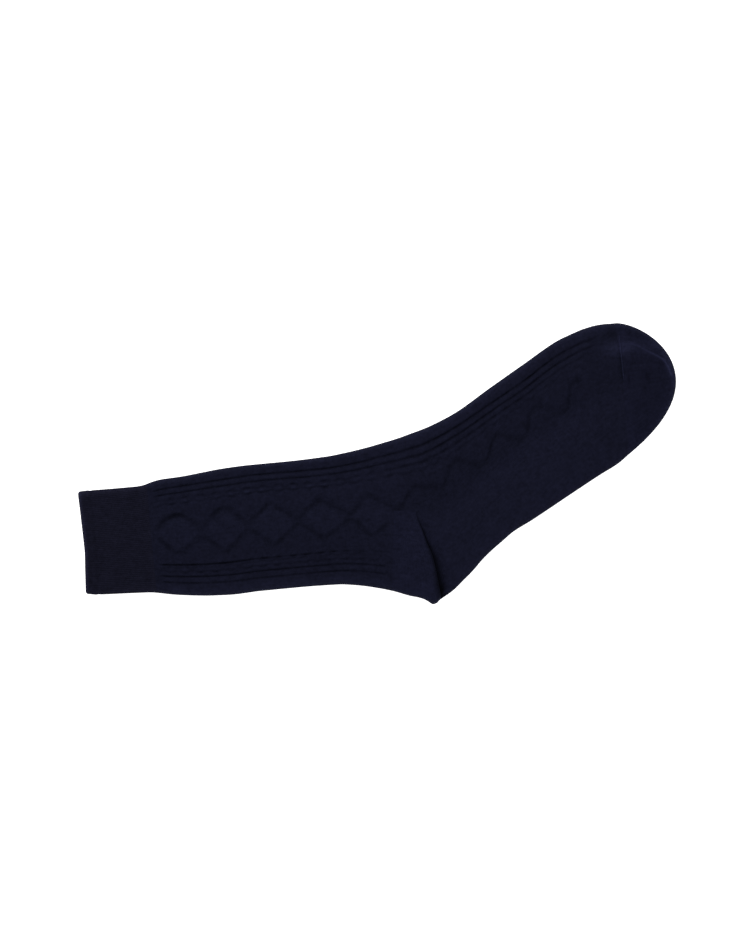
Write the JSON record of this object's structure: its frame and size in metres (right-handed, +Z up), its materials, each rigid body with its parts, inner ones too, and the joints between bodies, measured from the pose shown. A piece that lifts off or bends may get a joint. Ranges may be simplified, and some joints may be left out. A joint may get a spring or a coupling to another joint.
{
  "type": "ribbed sock",
  "caption": "Knitted crew sock lying flat: ribbed elastic cuff, leg and instep with lengthwise ribs, cable strips and diamonds, plain folded heel, sole and toe.",
  "frame": {"origin": "under the ankle, where the middle line of the leg meets the middle line of the foot, on the face that the sock lies on", "axes": "+X along the leg from the cuff towards the ankle, +Y towards the instep edge, +Z up from the face that the sock lies on"},
  "size_m": [0.4356, 0.1885, 0.0136],
  "materials": {
    "cuff_rib": "dark navy combed cotton, fine one by one rib with elastic",
    "patterned_knit": "dark navy combed cotton knit with sunk ribs, cables and diamonds",
    "plain_knit": "dark navy plain cotton knit",
    "seam_thread": "dark navy linking thread"
  },
  "bodies": {
    "root": {"cuff": "cuff_rib", "leg": "patterned_knit", "heel": "plain_knit", "foot": "patterned_knit", "toe": "plain_knit", "toe_seam": "seam_thread"}
  },
  "joints": []
}
